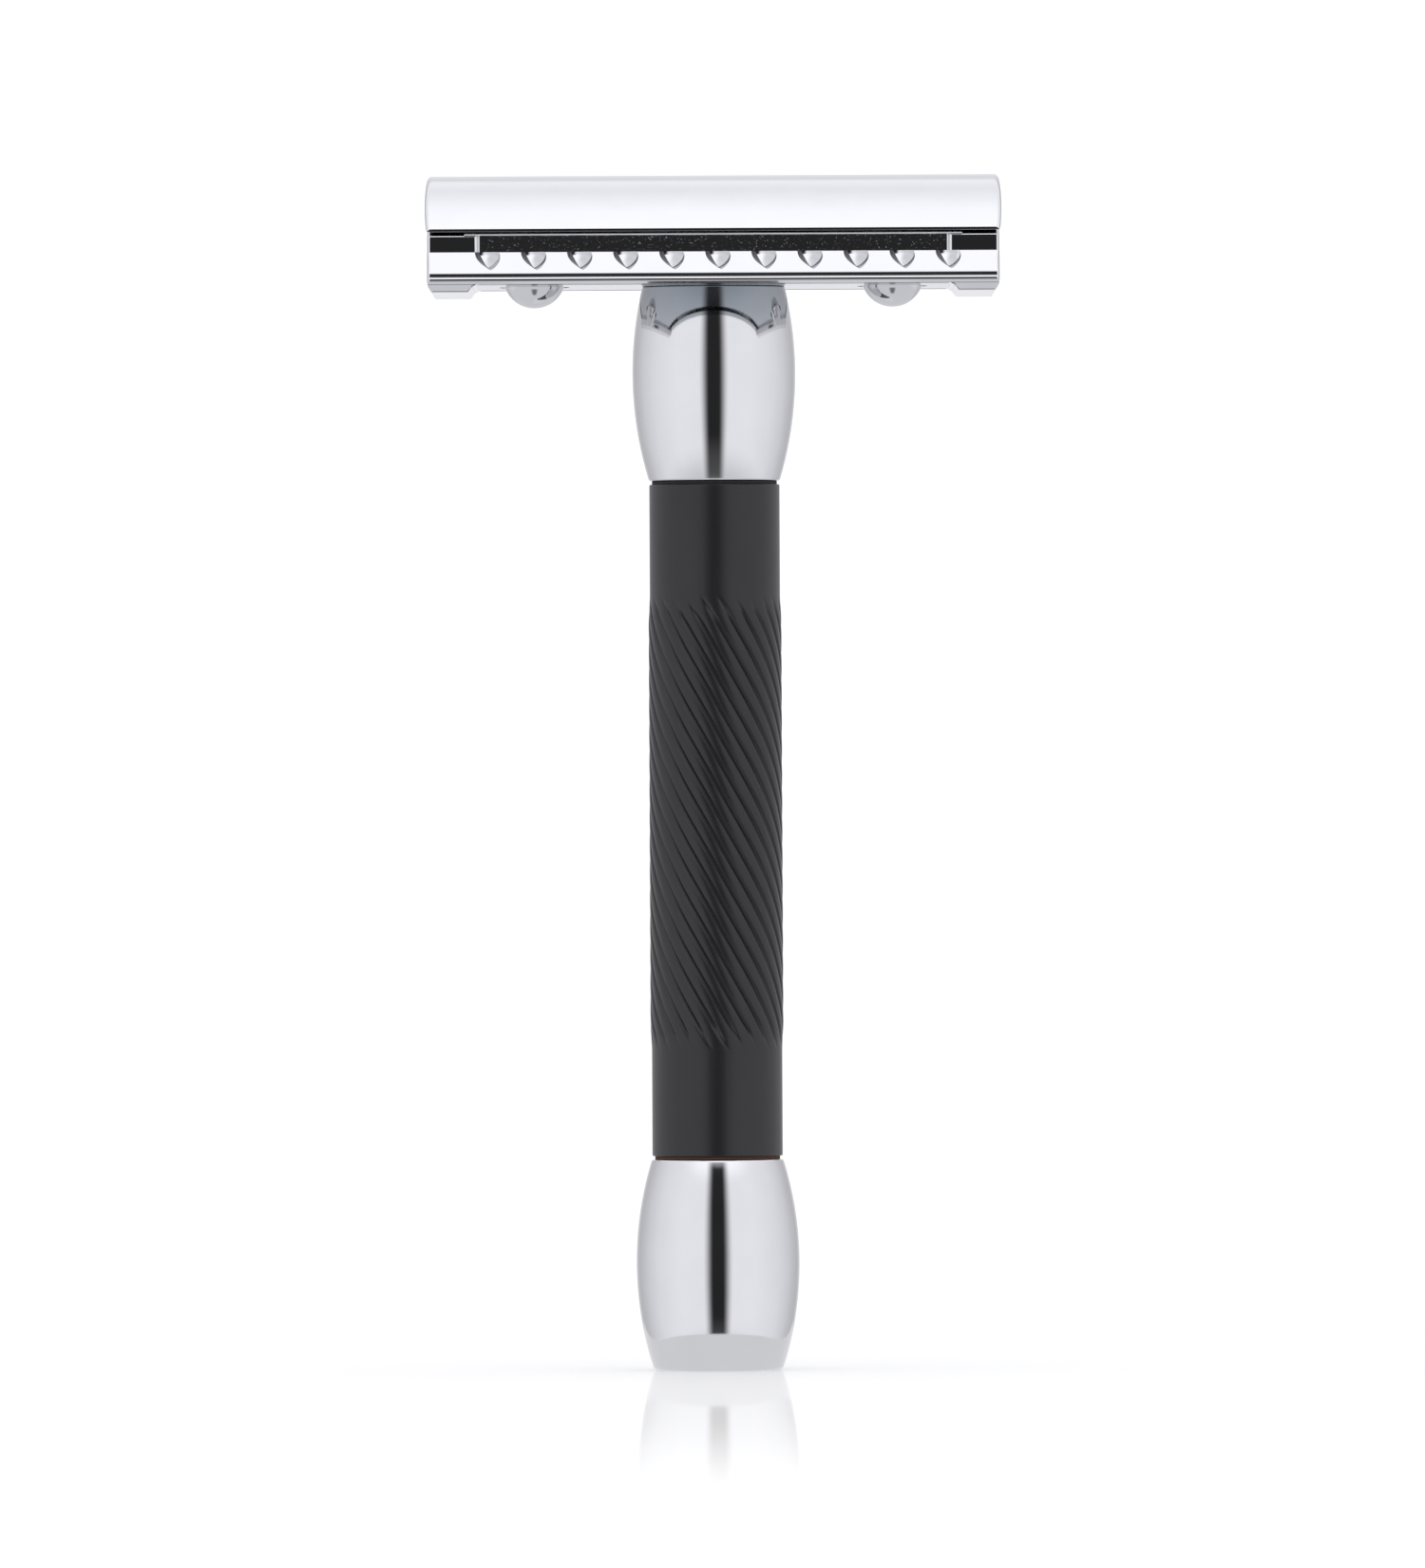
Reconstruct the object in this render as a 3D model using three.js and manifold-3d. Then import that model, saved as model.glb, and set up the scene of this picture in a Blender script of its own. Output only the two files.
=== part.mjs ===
// Three-piece double-edge safety razor, standing on the foot of its handle.
// Millimetres, +Z up the handle, X along the blade, -Y is the front.
// The origin is the centre of the handle's foot, on the surface that the razor stands on.
import * as THREE from "three";
import { mergeVertices } from "three/addons/utils/BufferGeometryUtils.js";
import Module from "manifold-3d";

// ---- Handle -------------------------------------------------------------------------------------
const ROUND_SIDES = 40;
const BORE_SIDES = 28;
const CUT_REACH = 10;
const BARREL_BULGE_R = 6.14;
const LOWER_BARREL = { bottom: 0, top: 15.85, bulgeZ: 8.1, arcR: 26 };
const UPPER_BARREL = { bottom: 66.8, top: 81.4, bulgeZ: 74.9, arcR: 27.5 };
const BARREL_EDGE = 0.22;
const FOOT_FILLET = 0.42;
const WASHER_THICKNESS = 0.25;
const WASHER_R = 4.7;
const SLEEVE_R = 4.9;
const SLEEVE_EDGE = 0.12;
const FLUTED_R = 5.0;
const FLUTE_DEPTH = 0.25;
const FLUTE_ROOT_COVER = 0.03;
const FLUTE_COUNT = 25;
const FLUTE_LEAD = 51.5;
const FLUTED_FROM = 24.2;
const FLUTED_TO = 57.6;
const FLUTE_STEPS = 18;
const ROD_R = 2.4;
const ROD_BORE_R = 2.7;
const ROD_BOTTOM = 3;
const ROD_TOP = 71;
const ROD_CHAMFER = 0.4;

// ---- Thread between the cap and the handle (M5 x 0.8, kept as plain cylinders) ------------------
const STUD_R = 2.4;
const STUD_CHAMFER = 0.5;
const STUD_TIP = 73.45;
const INSERT_R = 3.6;
const INSERT_POCKET_R = 3.9;
const INSERT_BORE_R = 2.65;
const INSERT_BOTTOM = 72.8;
const INSERT_CHAMFER = 0.4;

// ---- Blade: a standard flat blade, 42.9 x 22 x 0.1, bent over the base plate --------------------
const BLADE_LENGTH = 42.9;
const BLADE_WIDTH = 22;
const BLADE_THICKNESS = 0.1;
const BLADE_EDGE_LENGTH = 37.2;
const BLADE_TAB_WIDTH = 13;
const BLADE_SHOULDER_CHAMFER = 1;
const BLADE_SLOT_WIDTH = 1.9;
const BLADE_SLOT_LENGTH = 33;
const BLADE_HOLE_R = 2.75;
const BEND_R = 22;
const BEND_CROWN = 87.79;
const BEND_CENTRE = BEND_CROWN - BEND_R;
const BEND_STEPS = 20;
const CLAMP_GAP = 0.05;

// ---- Base plate ---------------------------------------------------------------------------------
const PLATE_LENGTH = 42.8;
const PLATE_BOTTOM = 81.4;
const FLANGE_BOTTOM_HALF_DEPTH = 12.1;
const FLANGE_CREASE = { halfDepth: 12.37, z: 81.92 };
const FLANGE_FILLET = 0.26;
const BAR_NOSE = { halfDepth: 12.45, z: 82.04 };
const BAR_FACE_TOP = { halfDepth: 11.5, z: 83.83 };
const BAR_FACE_BOW = THREE.MathUtils.degToRad(22);
const BAR_BACK = 10.8;
const END_BLOCK_HALF_DEPTH = 10.5;
const SHELF_HALF_DEPTH = 9.6;
const DRAIN_SLOT_HALF_LENGTH = 17.6;
const LIP_HALF_DEPTH = 12.1;
const LIP_INNER_X = 17.7;
const LIP_BOTTOM = 80.8;
const LIP_BOTTOM_INNER_X = 18.35;
const LIP_SHOULDER = { x: 18, z: 81.24 };
const LIP_OUTER_CHAMFER = 0.4;
const LIP_LEAN = 0.35;
const WELD_DEPTH = 0.2;
const CENTRE_HOLE_R = 2.75;
const POST_HOLE_R = 2.68;
const SCALLOP_COUNT = 11;
const SCALLOP_PITCH = 3.44;
const SCALLOP_SHIFT = 0.2;
const SCALLOP_LEAN = THREE.MathUtils.degToRad(25);
const SCALLOP_DISC_R = 1.9;
const SCALLOP_DEPTH = 0.62;
const SCALLOP_MOUTH = { along: 0.12, drop: -0.1 };
const SCALLOP_WALL = { top: -0.86, foot: -0.5 };
const SCALLOP_FLOOR_END = 0.87;
const SCALLOP_FLOOR_BEND = THREE.MathUtils.degToRad(48);
const SCALLOP_FLOOR_STEPS = 4;
const SCALLOP_SIDES = 30;

// ---- Cap ----------------------------------------------------------------------------------------
const CAP_LENGTH = 43.2;
const CAP_CROWN = 89.8;
const CAP_ARC_R = 14.7;
const CAP_HALF_DEPTH = 10.3;
const CAP_STEPS = 22;
const CAP_END_BULGE = 0.16;
const CAP_END_CORNER = 0.4;
const CAP_EDGE_STEP = 0.04;
const CAP_BULGE_FROM = 86;
const CAP_BULGE_FULL = 87.4;
const POST_X = 13.45;
const POST_R = 2.36;
const POST_TIP = 79.83;
const SOCKET_CEILING = 88.8;
const SOCKET_GAP = 0.3;

const finish = {
  chrome: { color: 0xe6e7ea, metalness: 1, roughness: 0.08 },
  blackGrip: { color: 0x2a2b2d, metalness: 0.6, roughness: 0.42 },
  bladeSteel: { color: 0xc9cccf, metalness: 1, roughness: 0.2 },
  rodSteel: { color: 0xa9adb1, metalness: 1, roughness: 0.35 },
  brass: { color: 0xb8974a, metalness: 1, roughness: 0.3 },
  fibre: { color: 0x6b3a2b, metalness: 0, roughness: 0.8 },
};

const wasm = await Module();
wasm.setup();

// ---- Solids and booleans ------------------------------------------------------------------------
function toManifold(geometry) {
  const plain = geometry.clone();
  plain.deleteAttribute("normal");
  plain.deleteAttribute("uv");
  const merged = mergeVertices(plain, 1e-5);
  return new wasm.Manifold(new wasm.Mesh({
    numProp: 3,
    vertProperties: new Float32Array(merged.attributes.position.array),
    triVerts: new Uint32Array(merged.index.array),
  }));
}

function toGeometry(solid) {
  const { vertProperties, triVerts } = solid.getMesh();
  const geometry = new THREE.BufferGeometry();
  geometry.setAttribute("position", new THREE.BufferAttribute(vertProperties, 3));
  geometry.setIndex(new THREE.BufferAttribute(triVerts, 1));
  geometry.computeVertexNormals();
  return geometry;
}

function joinAll(geometries) {
  return geometries.map(toManifold).reduce((sum, solid) => sum.add(solid));
}

function cutAll(solid, geometries) {
  return geometries.map(toManifold).reduce((rest, tool) => rest.subtract(tool), solid);
}

// ---- Shapes -------------------------------------------------------------------------------------
const point = (x, y) => new THREE.Vector2(x, y);

function arc(cx, cy, radius, from, to, steps) {
  return Array.from({ length: steps + 1 }, (_, i) => {
    const angle = from + ((to - from) * i) / steps;
    return point(cx + radius * Math.cos(angle), cy + radius * Math.sin(angle));
  });
}

// Points on the shallow arc from one point to another that turns clockwise by the given angle.
function bowed(from, to, turn, steps) {
  const chord = to.clone().sub(from);
  const radius = chord.length() / 2 / Math.sin(turn / 2);
  const inward = point(chord.y, -chord.x).normalize();
  const middle = from.clone().addScaledVector(chord, 0.5);
  const centre = middle.addScaledVector(inward, radius * Math.cos(turn / 2));
  return Array.from({ length: steps + 1 }, (_, i) => {
    return from.clone().rotateAround(centre, (-turn * i) / steps);
  });
}

// Turned piece: the profile holds (radius, z) points, listed up its outside.
function turned(profile, sides = ROUND_SIDES) {
  return new THREE.LatheGeometry(profile, sides).rotateX(Math.PI / 2);
}

function round(radius, bottom, top, sides = BORE_SIDES) {
  return turned([point(0, bottom), point(radius, bottom), point(radius, top), point(0, top)], sides);
}

function extruded(outline, depth) {
  const geometry = new THREE.ExtrudeGeometry(new THREE.Shape(outline), { depth, bevelEnabled: false });
  return geometry.translate(0, 0, -depth / 2);
}

// The outline holds (y, z) points and runs along X, centred.
function alongX(outline, length) {
  const turn = new THREE.Matrix4().makeBasis(
    new THREE.Vector3(0, 1, 0), new THREE.Vector3(0, 0, 1), new THREE.Vector3(1, 0, 0));
  return extruded(outline, length).applyMatrix4(turn);
}

// The outline holds (x, z) points and runs along Y, centred.
function alongY(outline, length) {
  return extruded(outline, length).rotateX(Math.PI / 2);
}

function box(x, y, z, width, depth, height) {
  return new THREE.BoxGeometry(width, depth, height).translate(x, y, z);
}

// ---- Handle pieces ------------------------------------------------------------------------------
function barrelSide({ bulgeZ, arcR }, from, to, steps = 9) {
  return Array.from({ length: steps + 1 }, (_, i) => {
    const z = from + ((to - from) * i) / steps;
    return point(BARREL_BULGE_R - arcR + Math.sqrt(arcR ** 2 - (z - bulgeZ) ** 2), z);
  });
}

function makeLowerBarrel() {
  const side = barrelSide(LOWER_BARREL, FOOT_FILLET, LOWER_BARREL.top - BARREL_EDGE);
  const footR = side[0].x;
  const topR = side[side.length - 1].x;
  return turned([
    point(0, 0),
    ...arc(footR - FOOT_FILLET, FOOT_FILLET, FOOT_FILLET, -Math.PI / 2, 0, 3).slice(0, -1),
    ...side,
    point(topR - BARREL_EDGE, LOWER_BARREL.top),
    point(ROD_BORE_R, LOWER_BARREL.top),
    point(ROD_BORE_R, ROD_BOTTOM),
    point(0, ROD_BOTTOM),
  ]);
}

function makeUpperBarrel() {
  const side = barrelSide(UPPER_BARREL, UPPER_BARREL.bottom + BARREL_EDGE, UPPER_BARREL.top);
  return turned([
    point(0, ROD_TOP),
    point(ROD_BORE_R, ROD_TOP),
    point(ROD_BORE_R, UPPER_BARREL.bottom),
    point(side[0].x - BARREL_EDGE, UPPER_BARREL.bottom),
    ...side,
    point(INSERT_POCKET_R, UPPER_BARREL.top),
    point(INSERT_POCKET_R, INSERT_BOTTOM),
    point(0, INSERT_BOTTOM),
  ]);
}

// The fluted zone: ridges and grooves that wind left-handed around the sleeve.
function makeFlutes() {
  const length = FLUTED_TO - FLUTED_FROM;
  const outline = Array.from({ length: 2 * FLUTE_COUNT }, (_, i) => {
    const angle = (i * Math.PI) / FLUTE_COUNT;
    const radius = i % 2 === 0 ? FLUTED_R : FLUTED_R - FLUTE_DEPTH;
    return point(radius * Math.cos(angle), radius * Math.sin(angle));
  });
  const settings = { depth: length, steps: FLUTE_STEPS, bevelEnabled: false };
  const flutes = new THREE.ExtrudeGeometry(new THREE.Shape(outline), settings);
  const place = flutes.attributes.position;
  const spot = new THREE.Vector3();
  const up = new THREE.Vector3(0, 0, 1);
  for (let i = 0; i < place.count; i += 1) {
    spot.fromBufferAttribute(place, i);
    spot.applyAxisAngle(up, (-2 * Math.PI * spot.z) / FLUTE_LEAD);
    place.setXYZ(i, spot.x, spot.y, spot.z);
  }
  return flutes.translate(0, 0, FLUTED_FROM);
}

function makeGripSleeve() {
  const bottom = LOWER_BARREL.top + WASHER_THICKNESS;
  const top = UPPER_BARREL.bottom - WASHER_THICKNESS;
  const coreR = FLUTED_R - FLUTE_DEPTH - FLUTE_ROOT_COVER;
  const core = turned([
    point(0, bottom),
    point(SLEEVE_R - SLEEVE_EDGE, bottom),
    point(SLEEVE_R, bottom + SLEEVE_EDGE),
    point(SLEEVE_R, FLUTED_FROM),
    point(coreR, FLUTED_FROM),
    point(coreR, FLUTED_TO),
    point(SLEEVE_R, FLUTED_TO),
    point(SLEEVE_R, top - SLEEVE_EDGE),
    point(SLEEVE_R - SLEEVE_EDGE, top),
    point(0, top),
  ]);
  const solid = joinAll([core, makeFlutes()]);
  return toGeometry(cutAll(solid, [round(ROD_BORE_R, bottom - 1, top + 1)]));
}

function makeWasher(bottom) {
  const top = bottom + WASHER_THICKNESS;
  return turned([
    point(ROD_BORE_R, bottom),
    point(WASHER_R, bottom),
    point(WASHER_R, top),
    point(ROD_BORE_R, top),
    point(ROD_BORE_R, bottom),
  ]);
}

function makeTieRod() {
  return turned([
    point(0, ROD_BOTTOM),
    point(ROD_R - ROD_CHAMFER, ROD_BOTTOM),
    point(ROD_R, ROD_BOTTOM + ROD_CHAMFER),
    point(ROD_R, ROD_TOP - ROD_CHAMFER),
    point(ROD_R - ROD_CHAMFER, ROD_TOP),
    point(0, ROD_TOP),
  ], BORE_SIDES);
}

function makeThreadedInsert() {
  const top = UPPER_BARREL.top;
  return turned([
    point(INSERT_BORE_R, INSERT_BOTTOM),
    point(INSERT_R, INSERT_BOTTOM),
    point(INSERT_R, top),
    point(INSERT_BORE_R + INSERT_CHAMFER, top),
    point(INSERT_BORE_R, top - INSERT_CHAMFER),
    point(INSERT_BORE_R, INSERT_BOTTOM),
  ], BORE_SIDES);
}

// ---- Head pieces --------------------------------------------------------------------------------
// (y, z) points of an arc about the bend's centre, from -halfDepth to +halfDepth.
function bendArc(radius, halfDepth) {
  const half = Math.asin(halfDepth / radius);
  return arc(0, BEND_CENTRE, radius, Math.PI / 2 + half, Math.PI / 2 - half, BEND_STEPS);
}

// The guard bar's face: a shallow arc that leans back from its nose to its top.
function makeBarFace() {
  const nose = point(-BAR_NOSE.halfDepth, BAR_NOSE.z);
  return bowed(nose, point(-BAR_FACE_TOP.halfDepth, BAR_FACE_TOP.z), BAR_FACE_BOW, 6);
}

function makePlateSection() {
  const seatR = BEND_R - BLADE_THICKNESS / 2 - CLAMP_GAP;
  const front = [
    point(-FLANGE_BOTTOM_HALF_DEPTH, PLATE_BOTTOM),
    point(-BAR_NOSE.halfDepth, PLATE_BOTTOM + FLANGE_FILLET),
    point(-FLANGE_CREASE.halfDepth, FLANGE_CREASE.z),
    ...makeBarFace(),
    point(-END_BLOCK_HALF_DEPTH, BAR_FACE_TOP.z),
  ];
  const back = front.map(({ x, y }) => point(-x, y)).reverse();
  return [...front, ...bendArc(seatR, END_BLOCK_HALF_DEPTH), ...back];
}

// The foot under one end of the plate: its front and back faces lean in towards the bottom.
function makeEndLip(side) {
  const outer = PLATE_LENGTH / 2;
  const top = PLATE_BOTTOM + WELD_DEPTH;
  const outline = [
    point(LIP_INNER_X, top),
    point(LIP_INNER_X, PLATE_BOTTOM),
    point(LIP_SHOULDER.x, LIP_SHOULDER.z),
    point(LIP_BOTTOM_INNER_X, LIP_BOTTOM),
    point(outer - LIP_OUTER_CHAMFER, LIP_BOTTOM),
    point(outer, LIP_BOTTOM + LIP_OUTER_CHAMFER),
    point(outer, top),
  ];
  const lip = alongY(outline.map(({ x, y }) => point(side * x, y)), 2 * LIP_HALF_DEPTH);
  const place = lip.attributes.position;
  for (let i = 0; i < place.count; i += 1) {
    const y = place.getY(i);
    place.setY(i, y - Math.sign(y) * LIP_LEAN * (top - place.getZ(i)));
  }
  return lip;
}

// Rim of the cutting disc, as (radius, reach) points: a steep wall, then a hollow floor that rises.
function makeScallopRim() {
  const middleR = SCALLOP_DISC_R - SCALLOP_DEPTH;
  const { top, foot } = SCALLOP_WALL;
  const start = point(SCALLOP_DISC_R, foot);
  const end = point(middleR, SCALLOP_FLOOR_END);
  const floor = bowed(start, end, SCALLOP_FLOOR_BEND, SCALLOP_FLOOR_STEPS);
  return [point(0, top), point(middleR, top), ...floor, point(0, SCALLOP_FLOOR_END)];
}

// A small disc set across the bar's face, leaning along the bar.
function makeScallopCutter(x, side) {
  const nose = new THREE.Vector3(0, -BAR_NOSE.halfDepth, BAR_NOSE.z);
  const top = new THREE.Vector3(0, -BAR_FACE_TOP.halfDepth, BAR_FACE_TOP.z);
  const faceDown = nose.sub(top).normalize();
  const outward = new THREE.Vector3(0, faceDown.z, -faceDown.y);
  const along = new THREE.Vector3(Math.cos(SCALLOP_LEAN), 0, 0);
  const axis = along.addScaledVector(faceDown, -Math.sin(SCALLOP_LEAN));
  const centre = top
    .addScaledVector(faceDown, SCALLOP_MOUTH.drop / faceDown.z)
    .addScaledVector(outward, SCALLOP_DISC_R - SCALLOP_DEPTH);
  const cutter = new THREE.LatheGeometry(makeScallopRim(), SCALLOP_SIDES);
  cutter.applyMatrix4(new THREE.Matrix4().makeBasis(outward, axis, outward.clone().cross(axis)));
  cutter.translate(x + SCALLOP_MOUTH.along, centre.y, centre.z);
  return side > 0 ? cutter.rotateZ(Math.PI) : cutter;
}

function makeScallops() {
  const cutters = [];
  for (const side of [-1, 1]) {
    for (let i = 0; i < SCALLOP_COUNT; i += 1) {
      const x = (i - (SCALLOP_COUNT - 1) / 2) * SCALLOP_PITCH + SCALLOP_SHIFT;
      cutters.push(makeScallopCutter(x, side));
    }
  }
  return cutters;
}

function makeDrainSlot(side) {
  const middle = (SHELF_HALF_DEPTH + BAR_BACK) / 2;
  const width = BAR_BACK - SHELF_HALF_DEPTH;
  return box(0, side * middle, PLATE_BOTTOM, 2 * DRAIN_SLOT_HALF_LENGTH, width, 2 * CUT_REACH);
}

function makeBasePlate() {
  const body = joinAll([alongX(makePlateSection(), PLATE_LENGTH), makeEndLip(-1), makeEndLip(1)]);
  const bottom = PLATE_BOTTOM - CUT_REACH;
  const top = PLATE_BOTTOM + CUT_REACH;
  const holes = [
    round(CENTRE_HOLE_R, bottom, top),
    round(POST_HOLE_R, bottom, top).translate(-POST_X, 0, 0),
    round(POST_HOLE_R, bottom, top).translate(POST_X, 0, 0),
  ];
  return toGeometry(cutAll(body, [...holes, makeDrainSlot(-1), makeDrainSlot(1), ...makeScallops()]));
}

function makeBladeOutline() {
  const end = BLADE_LENGTH / 2;
  const shoulder = BLADE_EDGE_LENGTH / 2;
  const half = BLADE_WIDTH / 2;
  const tab = BLADE_TAB_WIDTH / 2;
  const corner = [
    point(shoulder, half),
    point(shoulder, tab + BLADE_SHOULDER_CHAMFER),
    point(shoulder + BLADE_SHOULDER_CHAMFER, tab),
    point(end, tab),
  ];
  const right = [...corner, ...corner.map(({ x, y }) => point(x, -y)).reverse()];
  return [...right, ...right.map(({ x, y }) => point(-x, -y))];
}

function makeBlade() {
  const outer = BEND_R + BLADE_THICKNESS / 2;
  const inner = BEND_R - BLADE_THICKNESS / 2;
  const depth = BEND_R * Math.sin(BLADE_WIDTH / 2 / BEND_R);
  const strip = alongX([...bendArc(outer, depth), ...bendArc(inner, depth).reverse()], BLADE_LENGTH);
  const stamp = extruded(makeBladeOutline(), 2 * CUT_REACH).translate(0, 0, BEND_CROWN);
  const hole = round(BLADE_HOLE_R, BEND_CROWN - CUT_REACH, BEND_CROWN + CUT_REACH);
  const holes = [0, -POST_X, POST_X].map((x) => hole.clone().translate(x, 0, 0));
  const slot = box(0, 0, BEND_CROWN, BLADE_SLOT_LENGTH, BLADE_SLOT_WIDTH, 2 * CUT_REACH);
  return toGeometry(cutAll(toManifold(strip).intersect(toManifold(stamp)), [slot, ...holes]));
}

function makeCapSection() {
  const crownCentre = CAP_CROWN - CAP_ARC_R;
  const half = Math.asin(CAP_HALF_DEPTH / CAP_ARC_R);
  const outside = arc(0, crownCentre, CAP_ARC_R, Math.PI / 2 - half, Math.PI / 2 + half, CAP_STEPS);
  const underR = BEND_R + BLADE_THICKNESS / 2 + CLAMP_GAP;
  return [...outside, ...bendArc(underR, CAP_HALF_DEPTH - CAP_EDGE_STEP)];
}

// (x, z) outline of the cap seen from the front: sides that bulge slightly, rounded top corners.
function makeCapFront() {
  const edge = CAP_LENGTH / 2;
  const low = edge - CAP_END_BULGE;
  const cornerX = edge - CAP_END_CORNER;
  const cornerZ = CAP_CROWN - CAP_END_CORNER;
  const corner = arc(cornerX, cornerZ, CAP_END_CORNER, Math.PI / 8, Math.PI / 2, 3);
  const side = [
    point(low, BAR_FACE_TOP.z),
    point(low, CAP_BULGE_FROM),
    point(edge, CAP_BULGE_FULL),
    point(edge, CAP_CROWN - 2.5 * CAP_END_CORNER),
    ...corner,
  ];
  return [...side, ...side.map(({ x, y }) => point(-x, y)).reverse()];
}

function makeCapShell() {
  const front = alongY(makeCapFront(), 3 * CAP_HALF_DEPTH);
  const body = toManifold(alongX(makeCapSection(), CAP_LENGTH)).intersect(toManifold(front));
  const socket = round(POST_R + SOCKET_GAP, SOCKET_CEILING - 2 * CUT_REACH, SOCKET_CEILING);
  const centre = round(STUD_R + SOCKET_GAP, SOCKET_CEILING - 2 * CUT_REACH, SOCKET_CEILING);
  const sides = [-POST_X, POST_X].map((x) => socket.clone().translate(x, 0, 0));
  return toGeometry(cutAll(body, [...sides, centre]));
}

function makeStud() {
  return turned([
    point(0, STUD_TIP),
    point(STUD_R - STUD_CHAMFER, STUD_TIP),
    point(STUD_R, STUD_TIP + STUD_CHAMFER),
    point(STUD_R, SOCKET_CEILING),
    point(0, SOCKET_CEILING),
  ], BORE_SIDES);
}

function makePost() {
  const dome = arc(0, POST_TIP + POST_R, POST_R, -Math.PI / 2, 0, 6);
  return turned([...dome, point(POST_R, SOCKET_CEILING), point(0, SOCKET_CEILING)], BORE_SIDES);
}

// ---- Assembly -----------------------------------------------------------------------------------
const razor = new THREE.Group();
razor.name = "safety_razor";

function addPiece(parent, name, geometry, look, x = 0) {
  const mesh = new THREE.Mesh(geometry, new THREE.MeshStandardMaterial(finish[look]));
  mesh.name = name;
  mesh.position.x = x;
  parent.add(mesh);
}

const handle = new THREE.Group();
addPiece(handle, "lower_barrel", makeLowerBarrel(), "chrome");
addPiece(handle, "lower_washer", makeWasher(LOWER_BARREL.top), "fibre");
addPiece(handle, "grip_sleeve", makeGripSleeve(), "blackGrip");
addPiece(handle, "upper_washer", makeWasher(UPPER_BARREL.bottom - WASHER_THICKNESS), "fibre");
addPiece(handle, "upper_barrel", makeUpperBarrel(), "chrome");
addPiece(handle, "tie_rod", makeTieRod(), "rodSteel");
addPiece(handle, "threaded_insert", makeThreadedInsert(), "brass");
razor.add(handle);

const head = new THREE.Group();
addPiece(head, "base_plate", makeBasePlate(), "chrome");
addPiece(head, "blade", makeBlade(), "bladeSteel");
addPiece(head, "cap_shell", makeCapShell(), "chrome");
addPiece(head, "threaded_stud", makeStud(), "brass");
addPiece(head, "left_post", makePost(), "chrome", -POST_X);
addPiece(head, "right_post", makePost(), "chrome", POST_X);
razor.add(head);

export default razor;
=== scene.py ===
"""The looks of a three-piece safety razor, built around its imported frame.

Metres in Blender, +Z up the handle, X along the blade, -Y is the front. The shapes are worked out in
millimetres from the frame's boxes, and new_piece() turns them into metres.
"""

import math

import bmesh
import bpy
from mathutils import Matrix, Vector


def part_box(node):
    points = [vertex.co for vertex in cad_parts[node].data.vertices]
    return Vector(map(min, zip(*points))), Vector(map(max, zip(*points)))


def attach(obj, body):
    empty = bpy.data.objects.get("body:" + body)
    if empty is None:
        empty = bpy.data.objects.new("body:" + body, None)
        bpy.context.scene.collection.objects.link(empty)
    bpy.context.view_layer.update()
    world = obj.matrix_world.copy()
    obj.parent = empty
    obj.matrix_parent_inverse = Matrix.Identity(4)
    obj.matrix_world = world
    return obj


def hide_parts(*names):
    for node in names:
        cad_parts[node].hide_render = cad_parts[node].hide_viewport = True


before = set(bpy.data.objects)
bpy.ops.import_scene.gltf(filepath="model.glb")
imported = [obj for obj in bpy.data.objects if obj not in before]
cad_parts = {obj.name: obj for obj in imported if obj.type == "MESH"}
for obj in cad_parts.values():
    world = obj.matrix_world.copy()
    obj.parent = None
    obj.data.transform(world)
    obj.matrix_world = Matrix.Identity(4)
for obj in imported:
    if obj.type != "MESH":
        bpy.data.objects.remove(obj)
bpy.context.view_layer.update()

MM = 0.001
ROUND = 144
FULL_TURN = 2 * math.pi


def span(node):
    """The lowest and highest corners of a CAD node, in millimetres."""
    low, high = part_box(node)
    return low / MM, high / MM


# ---- Sizes that the frame's boxes don't give, in millimetres -------------------------------------
SMALL_EDGE = 0.1
END_RING_GAP = 0.05
ROD_BORE_R = 2.55
LOWER_BULGE_Z, LOWER_ARC_R = 8.1, 26.0
UPPER_BULGE_Z, UPPER_ARC_R = 74.9, 27.5
FOOT_FILLET = 0.45
FOOT_THICKNESS = 3.0
BARREL_EDGE = 0.2
NECK_EDGE = 0.12
POCKET_EDGE = 0.06
POCKET_GAP = 0.02
WASHER_EDGE = 0.05

PLAIN_SLEEVE_R = 4.9
FLUTE_COUNT = 25
FLUTE_LEAD = 51.5
FLUTED_FROM, FLUTED_TO = 24.0, 58.3
FLUTE_DEPTH = 0.16
FLUTE_SHARE = 0.42
FLUTE_RUN_OUT = 2.2
RIB_CROWN = 0.02
SLEEVE_ROWS = 96
SEGMENTS_PER_FLUTE = 16

THREAD_PITCH = 0.8
THREAD_DEPTH = 0.43
THREAD_FLANK = (1.25, 2.6)
THREAD_SEGMENTS = 64
ROD_CHAMFER = 0.45
ROD_THREAD_LENGTH = 12.0
ROD_THREAD_INSET = 0.2
INSERT_CREST_R = 2.12
INSERT_END_R = 2.55
INSERT_MOUTH_R = 2.75
INSERT_CHAMFER = (0.12, 0.15)
INSERT_THREAD_FROM, INSERT_THREAD_TO = 0.3, 0.5
INSERT_THREAD_MARGIN = 0.1
STUD_CHAMFER = 0.5
STUD_THREAD_FROM, STUD_THREAD_TO = 0.1, 9.5
PIN_SEGMENTS = 96
DOME_STEPS = 24
FLARE_STEPS = 6
FLARE_FROM, FLARE_CENTRE = 0.4, 0.3
POST_FLARE, STUD_FLARE = 0.25, 0.3
ROOT_COVER = 0.3

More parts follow.
